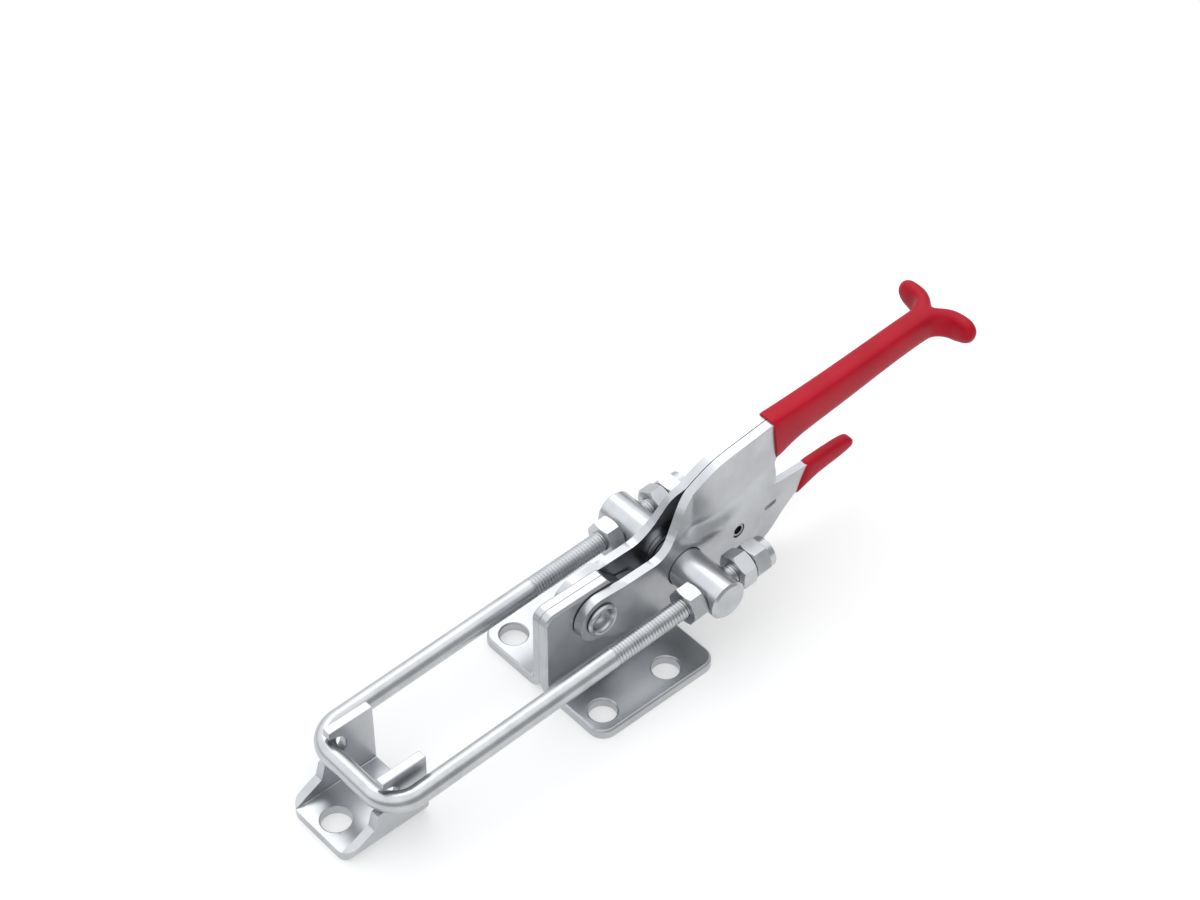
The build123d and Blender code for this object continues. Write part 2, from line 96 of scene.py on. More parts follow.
def pickSharp(piece, degrees, leaveOut):
    # in edit mode: the edges that turn by more than this, without those that leaveOut says yes to
    bpy.ops.mesh.select_mode(type="EDGE")
    bpy.ops.mesh.select_all(action="DESELECT")
    bpy.ops.mesh.edges_select_sharp(sharpness=math.radians(degrees))
    bpy.ops.object.mode_set(mode="OBJECT")
    verts = piece.data.vertices
    for edge in piece.data.edges:
        if leaveOut(*(verts[i].co for i in edge.vertices)):
            edge.select = False
    bpy.ops.object.mode_set(mode="EDIT")


# small mesh helpers

def inMetres(point):
    return [v * mm for v in point]


def applyPlace(piece):
    # the finished mesh holds its own place, the object sits at the origin
    selectOnly(piece)
    bpy.ops.object.transform_apply(location=True, rotation=True, scale=True)


def applyModifiers(piece):
    selectOnly(piece)
    for modifier in list(piece.modifiers):
        bpy.ops.object.modifier_apply(modifier=modifier.name)


def addCopy(mesh, name):
    piece = bpy.data.objects.new(name, mesh.copy())
    scene.collection.objects.link(piece)
    return piece


def copyOfNode(node, name):
    # a solid's mesh to work on, without the normals that came with it
    piece = addCopy(frame["nodes"][node].data, name)
    selectOnly(piece)
    bpy.ops.mesh.customdata_custom_splitnormals_clear()
    return piece


def joinFlats():
    # in edit mode: a solid's loose triangles become whole flat faces
    bpy.ops.mesh.select_all(action="SELECT")
    bpy.ops.mesh.remove_doubles(threshold=mergeGap)
    bpy.ops.mesh.dissolve_limited(angle_limit=math.radians(flatTurn))


def tidyShell():
    # in edit mode: doubles merged, then all faces turned outwards
    bpy.ops.mesh.select_all(action="SELECT")
    bpy.ops.mesh.remove_doubles(threshold=mergeGap)
    bpy.ops.mesh.normals_make_consistent(inside=False)


def startBlock(low, high):
    # a cube between two corners in mm
    bpy.ops.mesh.primitive_cube_add(size=1, location=[(a + b) / 2 * mm for a, b in zip(low, high)])
    block = bpy.context.active_object
    block.scale = [(b - a) * mm for a, b in zip(low, high)]
    applyPlace(block)
    return block


def startRing(sides, radius, place, turn=(0, math.pi / 2, 0)):
    # an open circle, facing along x where no other turn is given, in mm
    bpy.ops.mesh.primitive_circle_add(vertices=sides, radius=radius * mm, fill_type="NOTHING",
                                      location=inMetres(place), rotation=turn)
    ring = bpy.context.active_object
    applyPlace(ring)
    return ring


def drawOut(shift, stretch=(1, 1, 1), pivot=(0, 0, 0)):
    # in edit mode: the selected end is drawn out, then resized about a pivot, both in mm
    bpy.ops.mesh.extrude_region_move(TRANSFORM_OT_translate={"value": inMetres(shift)})
    bpy.ops.transform.resize(value=stretch, center_override=inMetres(pivot))


def quarterBend(steps, centre):
    # in edit mode: the selected end is carried a quarter turn to the left, seen from above
    bpy.ops.mesh.spin(steps=steps, angle=-math.pi / 2, center=inMetres(centre), axis=(0, 0, 1))


def wind(piece, axis, advance, steps, rounds=1, angle=2 * math.pi):
    # the piece's outline is wound round an axis through its origin, on by advance mm each round
    winding = piece.modifiers.new("winding", "SCREW")
    winding.axis = axis
    winding.angle = angle
    winding.screw_offset = advance * mm
    winding.iterations = rounds
    winding.steps = winding.render_steps = steps
    winding.use_merge_vertices = False
    applyModifiers(piece)


def mirrorOn(piece, axes, gap):
    # the other half is added, its points merged where they meet within gap mm
    mirror = piece.modifiers.new("otherHalf", "MIRROR")
    mirror.use_axis = axes
    mirror.merge_threshold = gap * mm
    applyModifiers(piece)


def addBevel(piece, width, degrees):
    bevel = piece.modifiers.new("brokenEdge", "BEVEL")
    bevel.width = width * mm
    bevel.segments = 2
    bevel.limit_method = "ANGLE"
    bevel.angle_limit = math.radians(degrees)
    return bevel


def smooth(piece, degrees=smoothTurn):
    selectOnly(piece)
    bpy.ops.object.shade_smooth_by_angle(angle=math.radians(degrees))


def rowAt(rows, x):
    # the numbers at a place along x, worked out between the rows before and after it
    x = min(max(x, rows[0][0]), rows[-1][0] - 0.001)       # just inside the first and last row
    before, after = next((a, b) for a, b in zip(rows, rows[1:]) if a[0] <= x < b[0])
    part = (x - before[0]) / (after[0] - before[0])
    return [a + (b - a) * part for a, b in zip(before[1:], after[1:])]


def finishPiece(piece, name, material, nodes):
    piece.name = name
    piece.data.name = name
    piece.data.materials.clear()
    piece.data.materials.append(material)
    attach(piece, nodeBody[nodes[0]])
    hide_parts(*nodes)


# materials

def toLinear(hexColour):
    channels = [int(hexColour[i:i + 2], 16) / 255 for i in (1, 3, 5)]
    linear = [c / 12.92 if c <= 0.04045 else ((c + 0.055) / 1.055) ** 2.4 for c in channels]
    return (*linear, 1.0)


def addNode(tree, kind, settings=None, links=None):
    # settings: attribute or input name to value, links: input name to another node's output
    node = tree.nodes.new(kind)
    for key, value in (settings or {}).items():
        if key == "stops":      # where a ramp's two colours stand, and what they are
            for stop, (position, colour) in zip(node.color_ramp.elements, value):
                stop.position, stop.color = position, colour
        elif isinstance(key, int) or key in node.inputs:
            node.inputs[key].default_value = value
        else:
            setattr(node, key, value)
    for key, output in (links or {}).items():
        tree.links.new(output, node.inputs[key])
    return node


def newMaterial(name):
    material = bpy.data.materials.new(name)
    material.use_nodes = True
    material.node_tree.nodes.clear()
    return material, material.node_tree


def perMetre(size):
    # texture scale that gives features of about this size in mm
    return 1 / (size * mm)


def zinc(name, values):
    # a broad cloud varies tone and gloss, a fine grain gives the tooth
    material, tree = newMaterial(name)
    shade, light = toLinear(values["shade"]), toLinear(values["light"])
    place = addNode(tree, "ShaderNodeTexCoord")
    cloud = addNode(tree, "ShaderNodeTexNoise",
                    {"Scale": perMetre(values["cloudMm"]), "Detail": 3.0, "Roughness": 0.5},
                    {"Vector": place.outputs["Object"]})
    grain = addNode(tree, "ShaderNodeTexNoise",
                    {"Scale": perMetre(values["grainMm"]), "Detail": 2.0, "Roughness": 0.6},
                    {"Vector": place.outputs["Object"]})
    tone = addNode(tree, "ShaderNodeValToRGB",
                   {"stops": [(0.35, shade), (0.65, light)]},
                   {"Fac": cloud.outputs["Fac"]})
    rough = addNode(tree, "ShaderNodeMapRange",
                    {"To Min": values["roughLow"], "To Max": values["roughHigh"]},
                    {"Value": cloud.outputs["Fac"]})
    bump = addNode(tree, "ShaderNodeBump",
                   {"Strength": values["bump"], "Distance": values["bumpMm"] * mm},
                   {"Height": grain.outputs["Fac"]})
    shader = addNode(tree, "ShaderNodeBsdfPrincipled", {"Metallic": 1.0},
                     {"Base Color": tone.outputs["Color"], "Roughness": rough.outputs["Result"],
                      "Normal": bump.outputs["Normal"]})
    addNode(tree, "ShaderNodeOutputMaterial", links={"Surface": shader.outputs["BSDF"]})
    return material


# bright zinc plate on pressed sheet: satin and faintly clouded, with the tooth of rolled steel
# below it, which is drawn several times coarser than it is so that it shows
zincSheet = zinc("brightZincPressedSheet", {
    "shade": "#B4B6B9", "light": "#C1C3C6", "cloudMm": 9.0, "grainMm": 0.9,
    "roughLow": 0.27, "roughHigh": 0.37, "bump": 0.12, "bumpMm": 0.02})

# the same plate on turned and drawn steel: smoother, so its highlights are longer and sharper
zincTurned = zinc("brightZincTurnedSteel", {
    "shade": "#B7B9BB", "light": "#C5C7C9", "cloudMm": 6.0, "grainMm": 0.8,
    "roughLow": 0.24, "roughHigh": 0.34, "bump": 0.08, "bumpMm": 0.015})

# oiled spring steel: left dark from hardening, its drawing marks drawn coarse enough to show
springSteel = zinc("oiledSpringSteel", {
    "shade": "#4A4B4D", "light": "#626366", "cloudMm": 4.0, "grainMm": 0.3,
    "roughLow": 0.32, "roughHigh": 0.42, "bump": 0.2, "bumpMm": 0.01})

# rolled spring pin: plain strip steel, brighter than the spring
rolledPin = zinc("rolledSpringPin", {
    "shade": "#8E9092", "light": "#A5A7A9", "cloudMm": 2.0, "grainMm": 0.25,
    "roughLow": 0.28, "roughHigh": 0.36, "bump": 0.15, "bumpMm": 0.01})


def vinyl(name, values):
    # a broad flow varies the tone, a fine skin gives gloss and ripple
    material, tree = newMaterial(name)
    shade, light = toLinear(values["shade"]), toLinear(values["light"])
    place = addNode(tree, "ShaderNodeTexCoord")
    flow = addNode(tree, "ShaderNodeTexNoise",
                   {"Scale": perMetre(values["flowMm"]), "Detail": 2.0, "Roughness": 0.45},
                   {"Vector": place.outputs["Object"]})
    skin = addNode(tree, "ShaderNodeTexNoise",
                   {"Scale": perMetre(values["skinMm"]), "Detail": 3.0, "Roughness": 0.55},
                   {"Vector": place.outputs["Object"]})
    tone = addNode(tree, "ShaderNodeValToRGB",
                   {"stops": [(0.3, shade), (0.7, light)]},
                   {"Fac": flow.outputs["Fac"]})
    rough = addNode(tree, "ShaderNodeMapRange",
                    {"To Min": values["roughLow"], "To Max": values["roughHigh"]},
                    {"Value": skin.outputs["Fac"]})
    bump = addNode(tree, "ShaderNodeBump",
                   {"Strength": values["bump"], "Distance": values["bumpMm"] * mm},
                   {"Height": skin.outputs["Fac"]})
    shader = addNode(tree, "ShaderNodeBsdfPrincipled",
                     {"IOR": 1.5, "Specular IOR Level": values["gloss"],
                      "Coat Weight": values["coat"], "Coat Roughness": 0.18},
                     {"Base Color": tone.outputs["Color"], "Roughness": rough.outputs["Result"],
                      "Normal": bump.outputs["Normal"]})
    addNode(tree, "ShaderNodeOutputMaterial", links={"Surface": shader.outputs["BSDF"]})
    return material


# dipped vinyl: a thick satin skin that ran and set, so its edges are fat and it waves a little
redVinyl = vinyl("dippedVinylRed", {
    "shade": "#A20C22", "light": "#B01127", "flowMm": 14.0, "skinMm": 1.6,
    "roughLow": 0.36, "roughHigh": 0.46, "bump": 0.12, "bumpMm": 0.03,
    "gloss": 0.16, "coat": 0.02})

# natural nylon of the lock nuts' rings: milky, half matt
nylonRing = vinyl("naturalNylon", {
    "shade": "#C9C8BF", "light": "#D6D5CC", "flowMm": 3.0, "skinMm": 0.5,
    "roughLow": 0.4, "roughHigh": 0.5, "bump": 0.1, "bumpMm": 0.01,
    "gloss": 0.5, "coat": 0.0})
print("materials made")


# the middle line of the U-bolt's legs, on which the trunnion and the nuts stand too

legs = {
    "trunnion": (30.2, 20.9), "bar": (-83.0, 16.5),      # x and z in mm
    "half": 17.0,                                       # from the middle plane to each leg
}
legReach, legRise = (a - b for a, b in zip(legs["trunnion"], legs["bar"]))
legRun = math.hypot(legReach, legRise)
legTilt = math.atan2(legRise, legReach)


def turnOnLeg(piece, node, degrees):
    # a nut stands as it was tightened: turned about the axis of its own leg
    x, z = legs["trunnion"]
    side = legs["half"] if "left" in node else -legs["half"]
    centre = Matrix.Translation(inMetres((x, side, z)))
    axis = Vector((math.cos(legTilt), 0, math.sin(legTilt)))
    turn = Matrix.Rotation(math.radians(degrees), 4, axis)
    piece.matrix_world = centre @ turn @ centre.inverted()
    applyPlace(piece)


# pieces that keep the solid's own form, with their pressed or turned edges broken

def brokenEdges(node, name, material, edge, turn=0):
    piece = copyOfNode(node, name)
    if turn:
        turnOnLeg(piece, node, turn)
    bpy.ops.object.mode_set(mode="EDIT")
    joinFlats()
    bpy.ops.object.mode_set(mode="OBJECT")
    bevel = addBevel(piece, edge, edgeTurn)
    bevel.harden_normals = True
    smooth(piece)
    applyModifiers(piece)
    finishPiece(piece, name, material, [node])


# handle plates: one sheet each, its joggle and folds relaxed as the press leaves them

plate = {
    "sheet": 2.8, "edge": 0.4, "edgeTurn": 50,
    "netFrom": (4.5, 6.5), "netTo": (68.5, 51.5), "cutEvery": 1.3,      # x and z in mm
    "pivot": (-1.0, 22.0), "bendCentre": (127.7, 8.65), "bendRound": 1.5, "seam": 0.12,
    "outwardLeast": 0.7,            # least part of its normal outwards, for an outside face
    # x from the pivot, inner face below and above the fold, where the fold starts and ends
    # above the pivot
    "folds": [(-9.0, 3.3, 3.3, 4.5, 10.0), (22.0, 3.3, 3.3, 4.5, 10.0),
              (26.0, 3.3, 2.9, 6.4, 10.2), (29.5, 3.3, 2.1, 6.3, 10.4),
              (33.0, 3.3, 1.1, 5.9, 9.8), (36.5, 3.3, 0.0, 5.2, 8.8),
              (41.0, 3.3, 0.0, 4.0, 7.6), (47.0, 2.9, 0.0, 2.4, 6.8),
              (55.0, 2.1, 0.0, 2.6, 8.2), (62.0, 1.65, 0.0, 5.8, 11.4),
              (69.0, 1.6, 0.0, 8.6, 12.6)],
    # lower edge of the arm as it widens into the cheek, x and z from the pivot
    "lowerEdge": [(0.0, -8.0), (4.0, -9.8), (8.0, -11.6), (12.0, -12.8), (16.0, -13.2),
                  (32.0, -13.5), (45.0, -14.0)],
    "lowerFrom": -6.0, "holeClear": 9.0,        # border points above it or by the hole stay
}


def sharpFold(x, z):
    # inner face of the sheet at a place beside the pivot, its folds still sharp, mm
    below, above, low, high = rowAt(plate["folds"], x)
    return below + (above - below) * min(max((z - low) / (high - low), 0), 1)


def relaxedFold(x, z):
    # the same with each fold rounded over a few mm, as the press leaves it
    reach = [plate["bendRound"] * step / 3 for step in range(-3, 4)]
    return sum(sharpFold(x + i, z + j) for i in reach for j in reach) / len(reach) ** 2


def insideOfSheet(point):
    pivotX, pivotZ = plate["pivot"]
    return max(relaxedFold(point.x / mm - pivotX, point.z / mm - pivotZ), plate["seam"]) * mm


def borderVerts(piece):
    # points on the open edge of a skin
    uses = {}
    for face in piece.data.polygons:
        for key in face.edge_keys:
            uses[key] = uses.get(key, 0) + 1
    return {piece.data.vertices[i] for key, count in uses.items() if count == 1 for i in key}


def isPlateOutside(face):
    # the side away from the other plate, followed round the flare
    bendX, bendY = plate["bendCentre"]
    outwards = Vector((0, 1, 0))
    if face.center.x > bendX * mm:
        outwards = Vector((bendX * mm - face.center.x, bendY * mm - face.center.y, 0)).normalized()
        if face.center.y > bendY * mm:
            outwards = Vector((-1, 0, 0))
    return face.normal.dot(outwards) > plate["outwardLeast"]


def inNet(point):
    return plate["netFrom"][0] * mm < point.x < plate["netTo"][0] * mm


def cutsBetween(low, high):
    every = plate["cutEvery"]
    return [low + i * every for i in range(int((high - low) / every) + 1)]


def lowerTheArm(piece):
    # the border below the arm comes down to the lower edge, all but the trunnion's hole
    pivotX, pivotZ = plate["pivot"]
    holeX, holeZ = legs["trunnion"]
    lastX = plate["lowerEdge"][-1][0]
    for vert in borderVerts(piece):
        x, z = vert.co.x / mm - pivotX, vert.co.z / mm - pivotZ
        fromHole = math.hypot(vert.co.x / mm - holeX, vert.co.z / mm - holeZ)
        if 0 < x < lastX and z < plate["lowerFrom"] and fromHole > plate["holeClear"]:
            vert.co.z = min(z, rowAt(plate["lowerEdge"], x)[0]) * mm + pivotZ * mm


def makePlate():
    piece = copyOfNode("handle_plate_left", "handle_plate_left_pressed")
    bpy.ops.object.mode_set(mode="EDIT")
    joinFlats()
    pickFaces(piece, lambda face: not isPlateOutside(face))
    bpy.ops.mesh.delete(type="FACE")
    # cut into a fine net over the folds, whose points are then pressed to the relaxed shape
    for x in cutsBetween(plate["netFrom"][0], plate["netTo"][0]):
        bpy.ops.mesh.select_all(action="SELECT")
        bpy.ops.mesh.bisect(plane_co=inMetres((x, 0, 0)), plane_no=(1, 0, 0))
    for z in cutsBetween(plate["netFrom"][1], plate["netTo"][1]):
        pickFaces(piece, lambda face: inNet(face.center))
        bpy.ops.mesh.bisect(plane_co=inMetres((0, 0, z)), plane_no=(0, 0, 1))
    bpy.ops.object.mode_set(mode="OBJECT")
    lowerTheArm(piece)
    for vert in piece.data.vertices:
        if inNet(vert.co):
            vert.co.y = insideOfSheet(vert.co) + plate["sheet"] * mm
    thick = piece.modifiers.new("sheet", "SOLIDIFY")
    thick.thickness = plate["sheet"] * mm
    thick.offset = -1
    thick.use_even_offset = True
    applyModifiers(piece)
    # the new inner face leans in where it turns, so it is pushed back to where it was
    for vert in piece.data.vertices:
        if inNet(vert.co):
            vert.co.y = max(vert.co.y, insideOfSheet(vert.co))
    addBevel(piece, plate["edge"], plate["edgeTurn"])
    applyModifiers(piece)
    return piece


leftPlate = makePlate()
rightPlate = addCopy(leftPlate.data, "handle_plate_right_pressed")
rightPlate.scale = (1, -1, 1)
applyPlace(rightPlate)
for piece, node in ((leftPlate, "handle_plate_left"), (rightPlate, "handle_plate_right")):
    selectOnly(piece)
    bpy.ops.object.mode_set(mode="EDIT")
    tidyShell()
    bpy.ops.object.mode_set(mode="OBJECT")
    smooth(piece)
    finishPiece(piece, node + "_pressed", zincSheet, [node])
print("handle plates made")


# the other sheet parts, each with the width of its broken edge in mm

sheetEdge = {"base_plate_left": 0.35, "base_plate_right": 0.35, "release_lever": 0.3}
for node, edge in sheetEdge.items():
    brokenEdges(node, node + "_pressed", zincSheet, edge)


# strike plate: every long edge broken, its two tight front corners left as the press trims them

strike = {"edge": 0.45, "cornerFrom": -92.0, "cornerHalf": 8.0}


def isStrikeCorner(point):
    ahead = point.x < strike["cornerFrom"] * mm - touch
    return ahead and abs(point.y) > strike["cornerHalf"] * mm


def makeStrike():
    piece = copyOfNode("strike_plate", "strike_plate_pressed")
    bpy.ops.object.mode_set(mode="EDIT")
    joinFlats()
    bpy.ops.mesh.bisect(plane_co=inMetres((strike["cornerFrom"], 0, 0)), plane_no=(1, 0, 0))
    pickSharp(piece, edgeTurn, lambda a, b: isStrikeCorner(a) or isStrikeCorner(b))
    bpy.ops.mesh.bevel(offset=strike["edge"] * mm, segments=2, affect="EDGES",
                       clamp_overlap=False)
    tidyShell()
    bpy.ops.object.mode_set(mode="OBJECT")
    smooth(piece)
    flats = piece.modifiers.new("flats", "WEIGHTED_NORMAL")
    flats.keep_sharp = True
    applyModifiers(piece)
    finishPiece(piece, "strike_plate_pressed", zincSheet, ["strike_plate"])


makeStrike()


# trunnion and nuts: width of the broken edge in mm, and degrees that a nut is turned on its leg

turned = {
    "trunnion": (0.3, 0),
    "front_nut_left": (0.15, 30), "front_nut_right": (0.15, 30),
    "rear_nut_left": (0.15, 0), "rear_nut_right": (0.15, 0),
    "lock_nut_left": (0.2, 30), "lock_nut_right": (0.2, 30),
}
for node, (edge, turn) in turned.items():
    brokenEdges(node, node + "_turned", zincTurned, edge, turn)


# the lock nuts' rings and the lever's pin

smallEdge = {"ring": 0.1, "pin": 0.12}
for node in ("lock_insert_left", "lock_insert_right"):
    brokenEdges(node, node + "_ring", nylonRing, smallEdge["ring"])
brokenEdges("lever_pin", "lever_pin_rolled", rolledPin, smallEdge["pin"])
print("sheet and turned pieces made")


# pivot rivet, its two heads rolled over round a recess

rivet = {
    "sides": 64, "smoothTurn": 40, "mergeWithin": 0.01,
    # radius and distance from the middle plane, from the shank over the head into its recess
    "rings": [(4.0, 0.0), (4.0, 6.36), (5.1, 6.4), (5.1, 6.8), (5.0, 7.15), (4.8, 7.42),
              (4.5, 7.58), (4.15, 7.5), (3.8, 7.2), (3.5, 6.7), (3.35, 5.9), (3.1, 4.6),
              (2.5, 4.0), (1.2, 4.1)],
}


def makeRivet():
    rings = rivet["rings"]
    piece = startRing(rivet["sides"], rings[0][0], (0, 0, 0), turn=(0, 0, 0))
    bpy.ops.object.mode_set(mode="EDIT")
    pickVerts(piece, lambda p: True)
    for (lastRadius, lastHeight), (radius, height) in zip(rings, rings[1:]):
        grow = radius / lastRadius
        drawOut((0, 0, height - lastHeight), (grow, grow, 1), (0, 0, height))
    bpy.ops.mesh.edge_face_add()
    bpy.ops.object.mode_set(mode="OBJECT")
    mirrorOn(piece, (False, False, True), rivet["mergeWithin"])
    bpy.ops.object.mode_set(mode="EDIT")
    tidyShell()
    bpy.ops.object.mode_set(mode="OBJECT")
    pivotX, pivotZ = plate["pivot"]
    piece.rotation_euler = (math.pi / 2, 0, 0)
    piece.location = inMetres((pivotX, 0, pivotZ))
    applyPlace(piece)
    smooth(piece, rivet["smoothTurn"])
    finishPiece(piece, "pivot_rivet_turned", zincTurned, ["pivot_rivet"])


makeRivet()


# torsion spring, wound round the trunnion, both its legs running off straight

spring = {
    "wire": 0.55, "wireSides": 16, "coil": 6.95, "coilSteps": 100, "width": 2.875, "turns": 2.5,
    "frontLeg": 5.0, "rearLeg": 9.0, "smoothTurn": 50,
}


def makeSpring():
    half = spring["width"] / 2
    inner = (half - 1.05 * spring["wire"]) * mm        # inner side of the wire at the coil's ends
    piece = startRing(spring["wireSides"], spring["wire"], (0, -half, spring["coil"]))
    wind(piece, "Y", spring["width"], spring["coilSteps"], angle=-2 * math.pi * spring["turns"])
    bpy.ops.object.mode_set(mode="EDIT")
    # the coil starts on top at one side and ends below at the other
    pickVerts(piece, lambda p: abs(p.x) < touch and p.z > 0 and p.y < -inner)
    drawOut((spring["frontLeg"], 0, 0))
    bpy.ops.mesh.edge_face_add()
    pickVerts(piece, lambda p: abs(p.x) < touch and p.z < 0 and p.y > inner)
    drawOut((spring["rearLeg"], 0, 0))
    bpy.ops.mesh.edge_face_add()
    tidyShell()
    bpy.ops.object.mode_set(mode="OBJECT")
    x, z = legs["trunnion"]
    piece.location = inMetres((x, 0, z))
    applyPlace(piece)
    smooth(piece, spring["smoothTurn"])
    finishPiece(piece, "torsion_spring_wound", springSteel, ["torsion_spring"])


makeSpring()
print("rivet and spring made")


# U-bolt: one rod bent twice, both its ends rolled with thread
# it is laid flat, x along the legs from the trunnion, and tilted into the latch at the end

bolt = {
    "rodRadius": 3.0, "rodSides": 48, "bend": 8.5, "bendSteps": 16, "tail": 21.2,
    "threadFrom": -37.0, "pitch": 1.0, "threadDepth": 0.32, "threadSteps": 36,
    "crest": 0.42,                  # how much of the middle third of a pitch is left at the top
    "runOut": (0.6, 0.82), "tailCone": (0.8, 0.76),      # length in mm, share of the radius left
    "smoothTurn": 32,
}


def makeRod():
    half = legs["half"]
    bend = bolt["bend"]
    start = bolt["threadFrom"]
    front = bend - legRun           # here the legs end and the bends begin
    runOut, narrow = bolt["runOut"]
    piece = startRing(bolt["rodSides"], bolt["rodRadius"], (start, half, 0))
    bpy.ops.object.mode_set(mode="EDIT")
    pickVerts(piece, lambda p: True)
    # leg, bend, bar, bend, leg: all drawn on from the last ring
    drawOut((front - start, 0, 0))
    quarterBend(bolt["bendSteps"], (front, half - bend, 0))
    drawOut((0, -2 * (half - bend), 0))
    quarterBend(bolt["bendSteps"], (front, bend - half, 0))
    drawOut((start - front, 0, 0))
    tidyShell()
    # the plain rod runs out under the first turn of thread
    for side in (half, -half):
        pickVerts(piece, lambda p: p.x > start * mm - touch and p.y * side > 0)
        drawOut((runOut, 0, 0), (1, narrow, narrow), (start + runOut, side, 0))
        bpy.ops.mesh.edge_face_add()
    tidyShell()
    bpy.ops.object.mode_set(mode="OBJECT")
    return piece


def makeThread():
    # one pitch of the thread's outline, wound on along the leg and trimmed square at both ends
    pitch = bolt["pitch"]
    root = bolt["rodRadius"] - bolt["threadDepth"]
    start = bolt["threadFrom"]
    cone, narrow = bolt["tailCone"]
    end = bolt["tail"] - cone
    first = start - pitch           # the winding starts a pitch early, before the trim
    bpy.ops.mesh.primitive_grid_add(x_subdivisions=3, y_subdivisions=1, size=pitch * mm,
                                    location=inMetres((first, root - pitch / 2, 0)))
    piece = bpy.context.active_object
    applyPlace(piece)
    bpy.ops.object.mode_set(mode="EDIT")
    pickVerts(piece, lambda p: p.y < (root - pitch / 2) * mm)
    bpy.ops.mesh.delete(type="VERT")
    pickVerts(piece, lambda p: abs(p.x - first * mm) < 0.3 * pitch * mm)     # the middle two
    bpy.ops.transform.translate(value=inMetres((0, bolt["threadDepth"], 0)))
    bpy.ops.transform.resize(value=(bolt["crest"], 1, 1),
                             center_override=inMetres((first, root, 0)))
    bpy.ops.object.mode_set(mode="OBJECT")
    rounds = int((end - start) / pitch) + 4         # some to spare, for the trim
    wind(piece, "X", pitch, bolt["threadSteps"], rounds)
    bpy.ops.object.mode_set(mode="EDIT")
    tidyShell()
    bpy.ops.mesh.bisect(plane_co=inMetres((start, 0, 0)), plane_no=(1, 0, 0), use_fill=True,
                        clear_inner=True)
    bpy.ops.mesh.select_all(action="SELECT")
    bpy.ops.mesh.bisect(plane_co=inMetres((end, 0, 0)), plane_no=(1, 0, 0), use_fill=True,
                        clear_outer=True)
    pickFaces(piece, lambda face: face.center.x > end * mm - touch and face.normal.x > facing)
    drawOut((cone, 0, 0), (1, narrow, narrow), (end + cone, 0, 0))
    tidyShell()
    bpy.ops.object.mode_set(mode="OBJECT")
    return piece


def makeBolt():
    rod = makeRod()
    thread = makeThread()
    threads = [thread, addCopy(thread.data, "otherThread")]
    for each, side in zip(threads, (legs["half"], -legs["half"])):
        each.location = (0, side * mm, 0)
        applyPlace(each)
    selectOnly(rod, *threads)
    bpy.ops.object.join()
    x, z = legs["trunnion"]
    rod.rotation_euler = (0, -legTilt, 0)
    rod.location = inMetres((x, 0, z))
    applyPlace(rod)
    smooth(rod, bolt["smoothTurn"])
    finishPiece(rod, "u_bolt_threaded", zincTurned, ["u_bolt"])


makeBolt()
print("U-bolt made")


# what both dipped grips have in common

dip = {"roundTurn": 48, "crease": 0.8, "level": 2, "smoothTurn": 50}


def drawGrip(values, lowY, highY):
    # a block with a slanted front, drawn out section by section, and left in edit mode
    (topX, topZ), (footX, footZ) = values["front"]
    x, low, high = values["sections"][0]
    piece = startBlock((footX, lowY, low), (x, highY, high))
    bpy.ops.object.mode_set(mode="EDIT")
    middle = (low + high) / 2
    pickVerts(piece, lambda p: p.x < footX * mm + touch and p.z > middle * mm)
    bpy.ops.transform.translate(value=inMetres((topX - footX, 0, topZ - high)))
    pickVerts(piece, lambda p: p.x < footX * mm + touch and p.z < middle * mm)
    bpy.ops.transform.translate(value=inMetres((0, 0, footZ - low)))
    pickFaces(piece, lambda face: face.normal.x > facing)
    for nextX, nextLow, nextHigh in values["sections"][1:]:
        middle = (nextLow + nextHigh) / 2
        taller = (nextHigh - nextLow) / (high - low)
        drawOut((nextX - x, 0, middle - (low + high) / 2), (1, 1, taller), (nextX, 0, middle))
        x, low, high = nextX, nextLow, nextHigh
    return piece


def onFront(front):
    # gives a test for points that lie on the slanted front
    top, foot = (Vector(corner) * mm for corner in front)
    line = (foot - top).normalized()
    return lambda p: abs((p.x - top.x) * line.y - (p.z - top.y) * line.x) < 5 * touch


def roundAndSmooth(piece, values, isTip):
    # in edit mode: long edges bevelled once, the cut front kept crisp, all of it subdivided
    isFront = onFront(values["front"])
    pickSharp(piece, dip["roundTurn"],
              lambda a, b: (isFront(a) and isFront(b)) or (isTip(a) and isTip(b)))
    bpy.ops.mesh.bevel(offset=values["round"] * mm, segments=1, affect="EDGES",
                       clamp_overlap=False)
    tidyShell()
    pickEdges(piece, lambda a, b: isFront(a) and isFront(b))
    bpy.ops.transform.edge_crease(value=dip["crease"])
    bpy.ops.object.mode_set(mode="OBJECT")
    skin = piece.modifiers.new("skin", "SUBSURF")
    skin.levels = skin.render_levels = dip["level"]
    applyModifiers(piece)
    smooth(piece, dip["smoothTurn"])


# T grip: its left half bent round the flare, drawn out into the lobe, then mirrored

grip = {
    "half": 3.8, "round": 1.35, "tipFrom": 14.5, "mergeWithin": 0.05,
    "front": [(65.8, 51.2), (67.9, 35.4)],      # top and foot of the slanted front, x and z in mm
    # x, low z and high z of each section
    "sections": [(70.5, 36.0, 51.2), (76.0, 38.8, 51.2), (92.0, 40.2, 51.7), (109.0, 42.7, 52.8),
                 (120.0, 43.9, 53.6), (127.7, 44.3, 53.8)],
    "bendCentre": (127.7, 8.65),
    "bendOuter": [8.955, 9.99, 9.65, 9.65, 9.65, 9.65],      # outer radius after each step
    # y, low z, high z and thickness along x of each section of the lobe
    "lobe": [(10.3, 45.1, 53.8, 4.8), (12.5, 45.6, 53.7, 4.6), (14.7, 47.8, 51.9, 3.4)],
}


